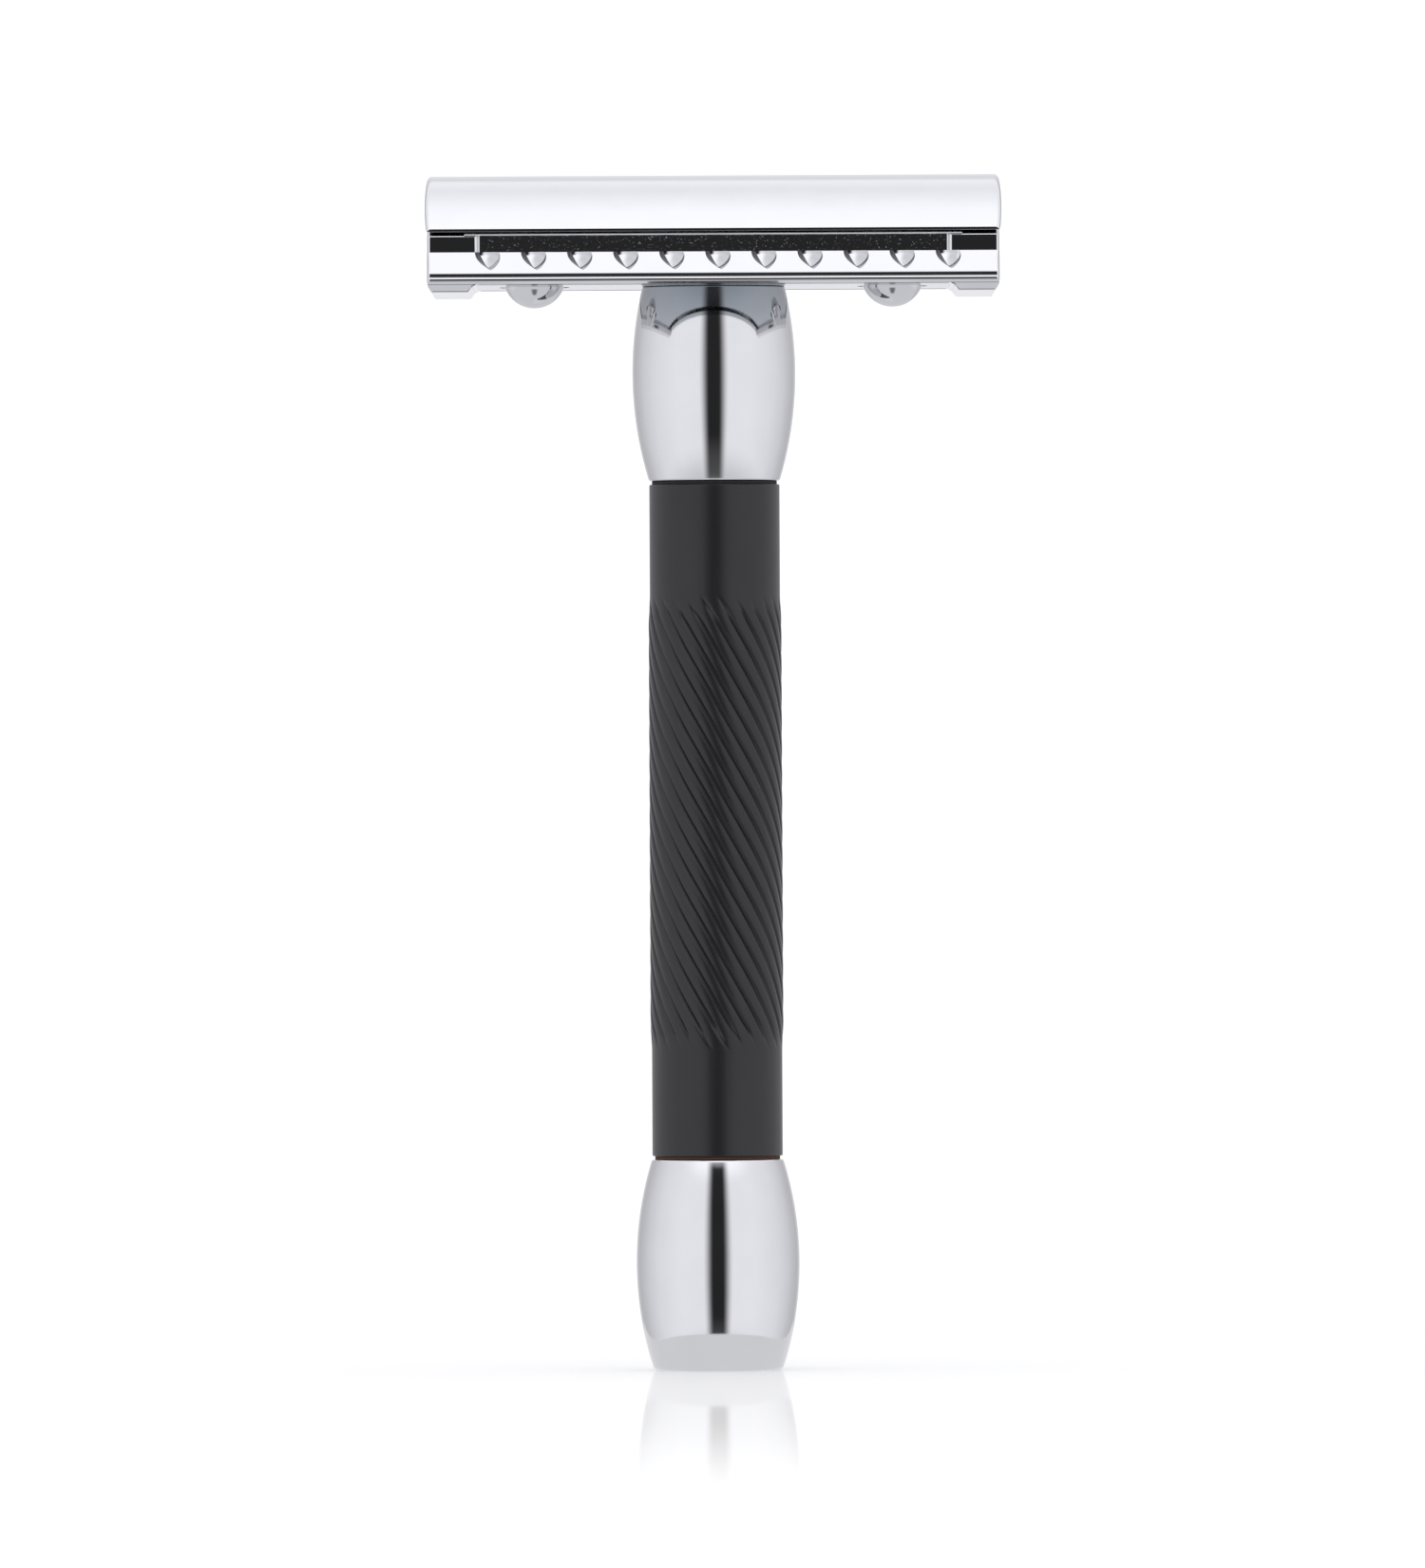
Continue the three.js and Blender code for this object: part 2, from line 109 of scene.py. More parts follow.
BEND_R = 22.0
BLADE_THICKNESS = 0.1
BLADE_HALF_WIDTH = 11.0
BLADE_EDGE_X = 18.6
BLADE_TAB_Y = 6.5
BLADE_NOTCH = 1.0
BLADE_NOTCH_R, BLADE_TAB_R = 0.4, 0.6
BLADE_SLOT_X, BLADE_SLOT_Y, BLADE_SLOT_R = 16.5, 0.95, 0.5
BLADE_HOLE_R = 2.75
BLADE_HOLE_SEGMENTS = 64
BLADE_SHARP_ANGLE = 25
BLADE_ROW = 0.5
GRIND_START, GRIND_WIDTH = 10.2, 0.8
GRIND_ROWS = (GRIND_START, 10.6, 10.85)
GRIND_CURVE = 0.8
GRIND_TIP = 0.03

CAP_ARC_R = 14.7
CAP_EDGE, CAP_EDGE_SHARE = 0.07, 0.45
CAP_RIM = 0.1
CAP_STEPS = 72
CAP_EDGE_STEPS = 5
CAP_END_ROUND = 0.38
CAP_END_BULGE = 0.006
CLAMP_GAP = 0.05

PLATE_BOTTOM = 81.4
PLATE_END_ROUND = 0.22
PLATE_SHARP_ANGLE = 14
SEAT_GAP = 0.03
FLANGE_TOP = 81.92
FLANGE_FACE = [(12.1, 81.4, 0.1), (12.46, 81.66, 0.2), (12.37, FLANGE_TOP)]
CREASE_RISE = 0.04
NOSE_RISE = 0.12
BAR_TOP = 83.83
BAR_FACE_TOP_Y = 11.5
BAR_FACE_BOW = math.radians(22)
BAR_FACE_STEPS = 12
BAR_TOP_EDGE = 0.25
BAR_BACK_Y = 10.8
END_BLOCK_Y = 10.5
END_BLOCK_CORNER_R = 0.25
SHELF_Y = 9.6
SLOT_X = 17.6
SLOT_CORNER_R = 0.15
CENTRE_HOLE_R, POST_HOLE_R = 2.75, 2.66
CUT_REACH = 2.0
CORNER_OVERLAP = (0.05, 0.1)
LIP_X = 17.7
LIP_INSET = 0.05
LIP_FACE_Y = 12.3
LIP_LEAN = 0.35
LIP_ROOT = 0.4
LIP_INNER_STEP, LIP_OUTER_STEP = 0.04, 0.16
LIP_BEND_X, LIP_FOOT_X = 0.3, 0.65
LIP_TIP_X, LIP_TIP_Z = 0.3, 0.5
LIP_CORNER_R, LIP_TIP_R = 0.2, 0.15
LIP_EDGE = 0.15

SCALLOP_COUNT = 11
SCALLOP_PITCH = 3.44
SCALLOP_SHIFT = 0.2
SCALLOP_WALL = (-0.86, -0.4)
SCALLOP_WALL_EXTRA = 0.4
SCALLOP_FLOOR_END = 0.87
SCALLOP_FLOOR_BOW = math.radians(40)
SCALLOP_FLOOR_REACH = 1.15
SCALLOP_FLOOR_STEPS = 20
SCALLOP_DEPTH = 0.62
SCALLOP_DISC_R = 1.9
SCALLOP_LEAN = math.radians(25)
SCALLOP_MIDDLE = (0.12, -0.1)
SCALLOP_SEGMENTS = 120


# ---- The studio as the metal sees it: (degrees, level) stops -------------------------------------
WALL_LEVELS = [
    (0, 0.86), (45, 0.875), (55, 0.875), (75, 0.83), (95, 0.78), (119, 0.66), (133, 0.56), (150, 0.47),
    (180, 0.68),
]
BACK_LEVELS = [(0, 0.70), (24, 0.70), (28, 0.95), (33, 0.90), (47, 0.87), (60, 0.99), (72, 1.1), (90, 1.15)]
FRONT_PANEL = [(32, 1.0), (62, 0.0)]
PANEL_LEVEL = 1.12
WALL_TOP = [(24, 0.0), (34, 1.0)]
WALL_FOOT = [(-34, 1.0), (-20, 0.0)]
GROUND_LEVEL = 0.62
METAL_GAIN = 1.32
GAP_SIDES = [(7, 1.0), (22, 0.0)]
GAP_ENDS = [
    (-74, 0.0), (-66, 0.75), (-49, 0.75), (-44, 0.0), (-36, 0.0), (-32, 0.9), (-19, 1.0), (31, 1.0),
    (35, 0.0),
]
GAP_LEVEL = 0.02
HORIZON_SPOT = math.cos(math.radians(8))
COOL_TINT = (0.985, 0.985, 1.03)

# The card under the foot, its sizes in millimetres.
CARD_LEVEL = 0.88
CARD_BLUE = 1.03
CARD_R = 11.8
CARD_ARC = (195, 345)
CARD_FLARE = (22.0, 34.0)
CARD_DROP = 0.02

# ---- Floor and camera, in metres -----------------------------------------------------------------
FLOOR_HALF = 20.0
FLOOR_TONE = 0.92
FLOOR_LIGHT = 1.12
FLOOR_SHINE = 0.4
FLOOR_SHINE_NEAR, FLOOR_SHINE_FAR = 0.1, 0.33
CAMERA_PLACE = (-0.00025, -1.7, 0.04404)
CAMERA_ROLL = math.radians(0.28)
CAMERA_LENS = 519.3


# ---- Outlines ------------------------------------------------------------------------------------
def arc_points(centre, radius, start, end, steps):
    """Points on an arc, angles in radians."""
    found = []
    for i in range(steps + 1):
        angle = start + (end - start) * i / steps
        found.append((centre[0] + radius * math.cos(angle), centre[1] + radius * math.sin(angle)))
    return found


def bowed(start, end, turn, steps, reach=1.0):
    """Points on the shallow arc from start to end that turns clockwise by turn, in radians.

    With a reach over 1 it carries on past its end.
    """
    start, end = Vector(start), Vector(end)
    chord = end - start
    radius = chord.length / 2 / math.sin(turn / 2)
    inward = Vector((chord.y, -chord.x)).normalized()
    centre = start + chord / 2 + inward * radius * math.cos(turn / 2)
    first = math.atan2(start.y - centre.y, start.x - centre.x)
    return arc_points(centre, radius, first, first - turn * reach, steps)


def circle(x, radius, segments):
    return arc_points((x, 0), radius, 0, FULL_TURN, segments)[:-1]


def round_corner(before, corner, after, radius, steps=6, hold=0.03):
    """The arc that rounds one corner, with a holding point just outside each of its ends."""
    here = Vector(corner)
    back = (Vector(before) - here).normalized()
    ahead = (Vector(after) - here).normalized()
    half = back.angle(ahead) / 2
    reach = radius / math.tan(half)
    centre = here + (back + ahead).normalized() * radius / math.sin(half)
    start = here + back * reach - centre
    turn = (math.pi - 2 * half) * (1 if back.cross(ahead) < 0 else -1)
    found = [centre + start + back * hold]
    for i in range(steps + 1):
        angle = turn * i / steps
        found.append(centre + Vector((
            start.x * math.cos(angle) - start.y * math.sin(angle),
            start.x * math.sin(angle) + start.y * math.cos(angle),
        )))
    found.append(here + ahead * (reach + hold))
    return [tuple(p) for p in found]


def rounded(corners, closed=True, steps=6):
    """An outline from (x, y) and (x, y, radius) corners."""
    found = []
    count = len(corners)
    for i, corner in enumerate(corners):
        inner = closed or 0 < i < count - 1
        if len(corner) == 3 and inner:
            before, after = corners[i - 1][:2], corners[(i + 1) % count][:2]
            found += round_corner(before, corner[:2], after, corner[2], steps)
        else:
            found.append(tuple(corner[:2]))
    return found


def mirrored(corners):
    """The same corners on the other side, in the order that carries an outline on."""
    return [(-u, *rest) for u, *rest in reversed(corners)]


def rectangle(half, near, far, radius):
    """A rounded rectangle that reaches half to either side of the middle, and from near to far."""
    corners = [(-half, near), (half, near), (half, far), (-half, far)]
    return rounded([(*corner, radius) for corner in corners])


# ---- Meshes --------------------------------------------------------------------------------------
def new_piece(name, points, faces):
    """A smooth-shaded object from points in millimetres, its faces turned outwards."""
    mesh = bpy.data.meshes.new(name)
    mesh.from_pydata([Vector(p) * MM for p in points], [], faces)
    shape = bmesh.new()
    shape.from_mesh(mesh)
    bmesh.ops.recalc_face_normals(shape, faces=shape.faces)
    shape.to_mesh(mesh)
    shape.free()
    piece = bpy.data.objects.new(name, mesh)
    bpy.context.scene.collection.objects.link(piece)
    shade(piece)
    return piece


def shade(piece, sharp_angle=30):
    """Smooth shading, apart from edges sharper than an angle in degrees."""
    piece.data.shade_smooth()
    piece.data.set_sharp_from_angle(angle=math.radians(sharp_angle))


def ring_faces(one, two):
    """Faces between two rings of vertex numbers; a ring of one number is a pole."""
    count = max(len(one), len(two))
    faces = []
    for k in range(count):
        j = (k + 1) % count
        corners = [one[k % len(one)], one[j % len(one)], two[j % len(two)], two[k % len(two)]]
        faces.append(tuple(dict.fromkeys(corners)))
    return faces


def turned(name, profile, segments=ROUND, relief=None, twist=None, at_x=0.0):
    """A turned piece from (radius, z) points that start and end on the axis, or close on themselves.

    relief(angle, z, radius) gives the radius at one place, and twist(z) turns a whole ring.
    """
    points, rings = [], []
    for radius, z in profile:
        if radius < 1e-6:
            rings.append([len(points)])
            points.append((at_x, 0, z))
            continue
        ring = []
        shift = twist(z) if twist else 0
        for k in range(segments):
            angle = FULL_TURN * k / segments
            r = relief(angle, z, radius) if relief else radius
            ring.append(len(points))
            points.append((at_x + r * math.cos(angle + shift), r * math.sin(angle + shift), z))
        rings.append(ring)
    pairs = list(zip(rings, rings[1:]))
    if profile[0][0] > 1e-6:
        pairs.append((rings[-1], rings[0]))
    faces = [face for one, two in pairs for face in ring_faces(one, two)]
    return new_piece(name, points, faces)


def prism(name, outline, start, end, place):
    """A solid from an outline swept from start to end; place(u, v, w) gives the point."""
    count = len(outline)
    points = [place(u, v, w) for w in (start, end) for u, v in outline]
    faces = [tuple(range(count)), tuple(range(2 * count - 1, count - 1, -1))]
    for k in range(count):
        j = (k + 1) % count
        faces.append((k, j, count + j, count + k))
    return new_piece(name, points, faces)


def end_stations(half, radius, steps=6):
    """(inset, x) pairs that round off an end, from the tip of a bar to where its full section starts."""
    found = []
    for i in range(steps + 1):
        angle = math.pi / 2 * i / steps
        found.append((radius * (1 - math.sin(angle)), half - radius * (1 - math.cos(angle))))
    return found


def lofted(name, half, end_round, section, end_faces):
    """A bar along X: section(inset, x) gives each ring, and end_faces(ring) closes its ends."""
    right = end_stations(half, end_round)
    right.append((0.0, right[-1][1] - END_RING_GAP))
    stations = [(inset, -x) for inset, x in right] + list(reversed(right))
    points, rings = [], []
    for inset, x in stations:
        ring = section(inset, x)
        rings.append(list(range(len(points), len(points) + len(ring))))
        points += ring
    faces = [face for one, two in zip(rings, rings[1:]) for face in ring_faces(one, two)]
    faces += end_faces(rings[0]) + end_faces(rings[-1])
    return new_piece(name, points, faces)


def single_face(ring):
    return [tuple(ring)]


def facing_strips(ring):
    """Closes a ring whose second half faces its first half, by strips between the two."""
    half = len(ring) // 2
    return [(ring[i], ring[i + 1], ring[-2 - i], ring[-1 - i]) for i in range(half - 1)]


def along_z(x, y, z):
    return (x, y, z)


def combine(piece, others, operation):
    """Joins or cuts piece with the others, which are then removed."""
    for other in others:
        step = piece.modifiers.new("combine", "BOOLEAN")
        step.operation = operation
        step.solver = "EXACT"
        step.object = other
        apply_modifiers(piece)
        bpy.data.objects.remove(other)


def apply_modifiers(piece):
    bpy.context.view_layer.update()
    evaluated = piece.evaluated_get(bpy.context.evaluated_depsgraph_get())
    mesh = bpy.data.meshes.new_from_object(evaluated)
    piece.modifiers.clear()
    piece.data = mesh


def soften(piece, width, angle, segments=3):
    """Rounds the edges that are sharper than angle, in degrees."""
    bevel = piece.modifiers.new("soften", "BEVEL")
    bevel.width = width * MM
    bevel.segments = segments
    bevel.limit_method = "ANGLE"
    bevel.angle_limit = math.radians(angle)
    bevel.use_clamp_overlap = True
    bevel.miter_outer = "MITER_ARC"
    apply_modifiers(piece)


def weld(piece, distance=0.002):
    """Merges points that lie closer than distance, in millimetres."""
    shape = bmesh.new()
    shape.from_mesh(piece.data)
    bmesh.ops.remove_doubles(shape, verts=shape.verts, dist=distance * MM)
    bmesh.ops.recalc_face_normals(shape, faces=shape.faces)
    shape.to_mesh(piece.data)
    shape.free()


def weight_normals(piece):
    step = piece.modifiers.new("normals", "WEIGHTED_NORMAL")
    step.keep_sharp = True
    step.weight = 80
    apply_modifiers(piece)


# ---- Materials -----------------------------------------------------------------------------------
MIX_SOCKETS = {"FLOAT": (2, 3, 0), "RGBA": (6, 7, 2)}


class Tree:
    """A node tree, with short calls to add and link its nodes."""

    def __init__(self, tree):
        self.tree = tree

    def add(self, kind, inputs=None, **settings):
        node = self.tree.nodes.new(kind)
        for key, value in settings.items():
            setattr(node, key, value)
        for key, value in (inputs or {}).items():
            self.set(node, key, value)
        return node

    def set(self, node, key, value):
        socket = node.inputs[key]
        if isinstance(value, bpy.types.NodeSocket):
            self.tree.links.new(value, socket)
        else:
            socket.default_value = value

    def math(self, operation, *values):
        return self.add("ShaderNodeMath", dict(enumerate(values)), operation=operation).outputs[0]

    def split(self, vector):
        return self.add("ShaderNodeSeparateXYZ", {"Vector": vector}).outputs

    def mix(self, share, first, second, kind="RGBA"):
        one, two, result = MIX_SOCKETS[kind]
        inputs = {0: share, one: first, two: second}
        return self.add("ShaderNodeMix", inputs, data_type=kind).outputs[result]


class Nodes(Tree):
    """A material's node tree."""

    def __init__(self, name):
        self.material = bpy.data.materials.new(name)
        self.material.use_nodes = True
        super().__init__(self.material.node_tree)
        self.shader = self.tree.nodes["Principled BSDF"]

    def place(self, scale=(1, 1, 1)):
        """Object coordinates in metres, scaled."""
        where = self.add("ShaderNodeTexCoord").outputs["Object"]
        return self.add("ShaderNodeMapping", {"Vector": where, "Scale": scale}).outputs["Vector"]

    def noise(self, vector, scale, detail=2.0, roughness=0.5):
        inputs = {"Vector": vector, "Scale": scale, "Detail": detail, "Roughness": roughness}
        return self.add("ShaderNodeTexNoise", inputs).outputs["Fac"]

    def ramp(self, value, low, high, start=0.0, end=1.0, **settings):
        inputs = {"Value": value, "From Min": start, "From Max": end, "To Min": low, "To Max": high}
        return self.add("ShaderNodeMapRange", inputs, **settings).outputs["Result"]

    def bump(self, height, strength, distance):
        inputs = {"Height": height, "Strength": strength, "Distance": distance}
        return self.add("ShaderNodeBump", inputs).outputs["Normal"]

    def finish(self, **sockets):
        for key, value in sockets.items():
            self.set(self.shader, key.replace("_", " "), value)
        return self.material

    def show(self, surface):
        """Puts another surface in place of the plain shader."""
        self.set(self.tree.nodes["Material Output"], "Surface", surface)


CHROME_TONES = ((0.635, 0.64, 0.655, 1), (0.68, 0.68, 0.69, 1))
# Painted shade: the plate's bottom face is coloured a darker blue-grey than its chrome.
UNDERSIDE_PAINTED_SHADE = (0.30, 0.335, 0.365, 1)
# Painted shade: the floors of the notches in the guard bars are coloured a darker grey.
NOTCH_FLOOR_PAINTED_SHADE = (0.52, 0.525, 0.535, 1)
# Painted shade: the steep walls of the notches in the guard bars are coloured near black.
NOTCH_WALL_PAINTED_SHADE = (0.06, 0.06, 0.065, 1)
BLACK_GRIP_TONES = ((0.0070, 0.0064, 0.0080, 1), (0.0120, 0.0110, 0.0138, 1))
BRASS_TONES = ((0.62, 0.45, 0.20, 1), (0.78, 0.60, 0.30, 1))
ROD_STEEL_TONES = ((0.42, 0.43, 0.45, 1), (0.58, 0.59, 0.60, 1))
BLADE_STEEL_TONES = ((0.56, 0.57, 0.59, 1), (0.68, 0.69, 0.70, 1))
BROWN_FIBRE_TONES = ((0.030, 0.012, 0.008, 1), (0.10, 0.035, 0.02, 1))
BLACK_FIBRE_TONES = ((0.010, 0.009, 0.010, 1), (0.022, 0.018, 0.018, 1))
HAZE_SCALE = 420
SHELF_MARGIN, BAR_MARGIN, SLOT_MARGIN, UNDERSIDE_MARGIN = 0.2, 0.02, 0.6, 0.03
FINE_BUMP, COARSE_BUMP = 0.00001, 0.00002


def chrome_material():
    """Bright chrome plate: a faint orange peel, and a haze that comes and goes."""
    nodes = Nodes("polished_chrome")
    haze = nodes.noise(nodes.place(), HAZE_SCALE, detail=4)
    peel = nodes.noise(nodes.place(), 900, detail=1)
    return nodes.finish(
        Base_Color=nodes.mix(haze, *CHROME_TONES),
        Metallic=1.0,
        Roughness=nodes.ramp(haze, 0.036, 0.09),
        Normal=nodes.bump(peel, 0.04, COARSE_BUMP),
    )


def plate_material():
    """The plate's chrome: painted blue-grey shade underneath, coarse where it was cast, painted dark shade
    on the notch walls and painted grey shade on the notch floors.
    """
    nodes = Nodes("plate_chrome")
    where = nodes.add("ShaderNodeTexCoord").outputs
    x, y, z = nodes.split(where["Object"])
    across = nodes.math("ABSOLUTE", x)
    depth = nodes.math("ABSOLUTE", y)
    behind_bars = nodes.math("LESS_THAN", depth, (SHELF_Y + SHELF_MARGIN) * MM)
    # Painted shade: this mask picks the plate's bottom face, which is coloured a darker blue-grey.
    underside = nodes.math("COMPARE", z, PLATE_BOTTOM * MM, UNDERSIDE_MARGIN * MM)
    on_bars = nodes.math(
        "MULTIPLY",
        nodes.math("GREATER_THAN", depth, (BAR_BACK_Y + BAR_MARGIN) * MM),
        nodes.math("LESS_THAN", across, (SLOT_X + SLOT_MARGIN) * MM),
    )
    on_bars = nodes.math("MULTIPLY", on_bars, nodes.math("GREATER_THAN", z, FLANGE_TOP * MM))
    outwards = nodes.math("MULTIPLY", nodes.math("SIGN", y), -1.0)
    lean = nodes.math("MULTIPLY", nodes.split(where["Normal"])["X"], outwards)
    # Painted shade: the steep notch walls, found by which way they face, are coloured near black and lose
    # their metal, so they look dark from every side.
    notch_wall_shade = nodes.math("MULTIPLY", on_bars, nodes.ramp(lean, 0.0, 1.0, 0.30, 0.42))
    # Painted shade: the notch floors, found by which way they face, are coloured a darker grey.
    notch_floor_shade = nodes.math("MULTIPLY", on_bars, nodes.ramp(lean, 1.0, 0.0, -0.35, -0.20))

    haze = nodes.noise(where["Object"], HAZE_SCALE, detail=4)
    grain = nodes.noise(where["Object"], 7000, detail=3, roughness=0.7)
    tone = nodes.mix(haze, *CHROME_TONES)
    tone = nodes.mix(underside, tone, UNDERSIDE_PAINTED_SHADE)
    tone = nodes.mix(notch_floor_shade, tone, NOTCH_FLOOR_PAINTED_SHADE)
    tone = nodes.mix(notch_wall_shade, tone, NOTCH_WALL_PAINTED_SHADE)
    shelf_roughness = nodes.math("MULTIPLY_ADD", behind_bars, 0.03, 0.05)
    specks = nodes.ramp(grain, 0.0, 1.0, 0.64, 0.80)
    return nodes.finish(
        Base_Color=tone,
        # Painted shade: the notch walls are made non-metallic so that their near-black colour shows.
        Metallic=nodes.math("SUBTRACT", 1.0, notch_wall_shade),
        Specular_IOR_Level=0.1,
        Roughness=nodes.math("MULTIPLY_ADD", notch_wall_shade, 0.2, shelf_roughness),
        Normal=nodes.bump(specks, nodes.math("MULTIPLY", behind_bars, 0.3), COARSE_BUMP),
    )


def black_grip_material():
    """Satin black anodised sleeve with a fine, blasted grain."""
    nodes = Nodes("satin_black_grip")
    grain = nodes.noise(nodes.place(), 9000, detail=3, roughness=0.6)
    patch = nodes.noise(nodes.place(), 260, detail=3)
    return nodes.finish(
        Base_Color=nodes.mix(patch, *BLACK_GRIP_TONES),
        Metallic=0.0,
        Roughness=nodes.ramp(grain, 0.26, 0.36),
        Normal=nodes.bump(grain, 0.25, FINE_BUMP),
        IOR=1.45,
    )


def brass_material():
    nodes = Nodes("turned_brass")
    rings = nodes.noise(nodes.place(scale=(40, 40, 4000)), 1.0, detail=2)
    tarnish = nodes.noise(nodes.place(), 300, detail=3)
    return nodes.finish(
        Base_Color=nodes.mix(tarnish, *BRASS_TONES),
        Metallic=1.0,
        Roughness=nodes.ramp(rings, 0.18, 0.4),
        Normal=nodes.bump(rings, 0.1, FINE_BUMP),
    )


def rod_steel_material():
    nodes = Nodes("turned_steel")
    rings = nodes.noise(nodes.place(scale=(40, 40, 3000)), 1.0, detail=2)
    return nodes.finish(
        Base_Color=nodes.mix(rings, *ROD_STEEL_TONES),
        Metallic=1.0,
        Roughness=nodes.ramp(rings, 0.28, 0.45),
        Normal=nodes.bump(rings, 0.1, FINE_BUMP),
    )


def blade_material():
    nodes = Nodes("blade_strip")
    rolled = nodes.noise(nodes.place(scale=(30, 2500, 30)), 1.0, detail=3)
    stain = nodes.noise(nodes.place(), 240, detail=3)
    return nodes.finish(
        Base_Color=nodes.mix(stain, *BLADE_STEEL_TONES),
        Metallic=1.0,
        Roughness=nodes.ramp(rolled, 0.07, 0.16),
        Normal=nodes.bump(rolled, 0.05, FINE_BUMP),
    )


def fibre_material(name, tones):
    nodes = Nodes(name)
    fibres = nodes.noise(nodes.place(scale=(1, 1, 6)), 2600, detail=4, roughness=0.7)
    return nodes.finish(
        Base_Color=nodes.mix(fibres, *tones),
        Roughness=nodes.ramp(fibres, 0.7, 0.95),
        Normal=nodes.bump(fibres, 0.3, COARSE_BUMP),
    )


# ---- Handle --------------------------------------------------------------------------------------
def barrel_side(bulge_r, bulge_z, arc_r, start, end, steps=30):
    """(radius, z) points up the bulged side of a barrel."""
    found = []
    for i in range(steps + 1):
        z = start + (end - start) * i / steps
        found.append((bulge_r - arc_r + math.sqrt(arc_r**2 - (z - bulge_z) ** 2), z))
    return found


def lower_barrel():
    low, high = span("lower_barrel")
    side = barrel_side(high.x, LOWER_BULGE_Z, LOWER_ARC_R, low.z, high.z)
    corners = [(0, low.z), (side[0][0], low.z, FOOT_FILLET)]
    corners += side[2:-1]
    corners += [(*side[-1], BARREL_EDGE), (ROD_BORE_R, high.z, SMALL_EDGE)]
    corners += [(ROD_BORE_R, low.z + FOOT_THICKNESS), (0, low.z + FOOT_THICKNESS)]
    return turned("lower_barrel_shell", rounded(corners, closed=False, steps=8))


def upper_barrel():
    low, high = span("upper_barrel")
    insert_low, insert_high = span("threaded_insert")
    rod_top = span("tie_rod")[1].z
    pocket_r = insert_high.x + POCKET_GAP
    side = barrel_side(high.x, UPPER_BULGE_Z, UPPER_ARC_R, low.z, high.z)
    corners = [(0, rod_top), (ROD_BORE_R, rod_top), (ROD_BORE_R, low.z, SMALL_EDGE)]
    corners.append((*side[0], BARREL_EDGE))
    corners += side[1:-1]
    corners += [(*side[-1], NECK_EDGE), (pocket_r, high.z, POCKET_EDGE)]
    corners += [(pocket_r, insert_low.z), (0, insert_low.z)]
    return turned("upper_barrel_shell", rounded(corners, closed=False, steps=8))


def eased(share):
    """Smooths a share between 0 and 1."""
    held = min(1.0, max(0.0, share))
    return held * held * (3 - 2 * held)


def grip_sleeve():
    """Broad ribs with narrow rounded grooves between them, which fade in at both ends of the zone."""
    low, high = span("grip_sleeve")
    swell = high.x - PLAIN_SLEEVE_R
    corners = [(ROD_BORE_R, low.z, SMALL_EDGE), (PLAIN_SLEEVE_R, low.z, SMALL_EDGE)]
    for i in range(SLEEVE_ROWS + 1):
        corners.append((PLAIN_SLEEVE_R, FLUTED_FROM + (FLUTED_TO - FLUTED_FROM) * i / SLEEVE_ROWS))
    corners += [(PLAIN_SLEEVE_R, high.z, SMALL_EDGE), (ROD_BORE_R, high.z, SMALL_EDGE)]

    def relief(angle, z, radius):
        inside = min(z - FLUTED_FROM, FLUTED_TO - z) / FLUTE_RUN_OUT
        if radius < PLAIN_SLEEVE_R - 0.01 or inside <= 0:
            return radius
        phase = (angle * FLUTE_COUNT / FULL_TURN) % 1.0
        groove = eased(1 - abs(phase - 0.5) / (FLUTE_SHARE / 2))
        crown = RIB_CROWN * (1 - math.cos(FULL_TURN * phase))
        return radius + eased(inside) * (swell - crown - FLUTE_DEPTH * groove)

    def twist(z):
        inside = min(max(z, FLUTED_FROM), FLUTED_TO)
        return -FULL_TURN * (inside - FLUTED_FROM) / FLUTE_LEAD

    return turned("grip_sleeve_body", rounded(corners), FLUTE_COUNT * SEGMENTS_PER_FLUTE, relief, twist)


def washer(node):
    low, high = span(node)
    corners = [(ROD_BORE_R, low.z), (high.x, low.z, WASHER_EDGE), (high.x, high.z, WASHER_EDGE)]
    corners.append((ROD_BORE_R, high.z))
    return turned(node + "_ring", rounded(corners, steps=4))


def thread_relief(crest_r, start, end, sign=-1, cleared=(False, False), shift=0.0):
    """A right-hand thread on the rings whose radius is crest_r.

    Each end runs out to the plain crest or, where it is cleared, to the full depth of the groove.
    The groove's depth falls off in a straight line from its middle, and is held between 0 and 1.
    """
    middle, slope = THREAD_FLANK

    def relief(angle, z, radius):
        if abs(radius - crest_r) > 1e-4 or not start < z < end:
            return radius
        phase = (z / THREAD_PITCH - angle / FULL_TURN + shift) % 1.0
        groove = min(1.0, max(0.0, middle - abs(phase - 0.5) * slope))
        for distance, clear in zip((z - start, end - z), cleared):
            fade = min(1.0, distance / THREAD_PITCH)
            groove = 1 - (1 - groove) * fade if clear else groove * fade
        return radius + sign * THREAD_DEPTH * groove

    return relief


def threaded_rows(radius, start, end, step=THREAD_PITCH / 12):
    """Profile points close enough together to carry a thread."""
    count = max(2, round(abs(end - start) / step))
    return [(radius, start + (end - start) * i / count) for i in range(count + 1)]


def tie_rod():
    low, high = span("tie_rod")
    crest = high.x
    tip = crest - ROD_CHAMFER
    profile = [(0, low.z), (tip, low.z)]
    profile += threaded_rows(crest, low.z + ROD_CHAMFER, low.z + ROD_THREAD_LENGTH)
    profile += threaded_rows(crest, high.z - ROD_THREAD_LENGTH, high.z - ROD_CHAMFER)
    profile += [(tip, high.z), (0, high.z)]
    reach = ROD_THREAD_LENGTH - ROD_THREAD_INSET
    lower = thread_relief(crest, low.z + ROD_THREAD_INSET, low.z + reach)
    upper = thread_relief(crest, high.z - reach, high.z - ROD_THREAD_INSET)

    def relief(angle, z, radius):
        return upper(angle, z, lower(angle, z, radius))

    return turned("tie_rod_shank", profile, THREAD_SEGMENTS, relief)


